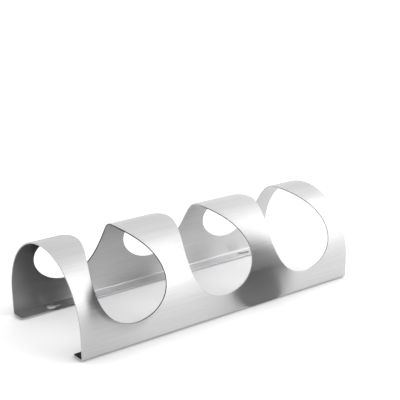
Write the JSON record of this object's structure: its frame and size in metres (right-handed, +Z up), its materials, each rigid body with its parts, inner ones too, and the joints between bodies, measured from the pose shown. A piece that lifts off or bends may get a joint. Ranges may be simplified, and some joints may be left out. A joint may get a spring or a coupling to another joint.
{
  "type": "wine rack",
  "caption": "Tunnel-shaped wine rack folded from one steel sheet, with round openings that hold bottles lying down across it.",
  "frame": {"origin": "centre of the footprint, on the resting plane", "axes": "+X along the tunnel, +Y from the front flank to the back flank, +Z up"},
  "size_m": [0.347, 0.142, 0.0985],
  "materials": {
    "sheet": "fine brushed grain",
    "pad": "matte silicone"
  },
  "bodies": {
    "root": {"folded_sheet": "sheet", "pad_front_left": "pad", "pad_front_right": "pad", "pad_back_left": "pad", "pad_back_right": "pad"}
  },
  "joints": []
}
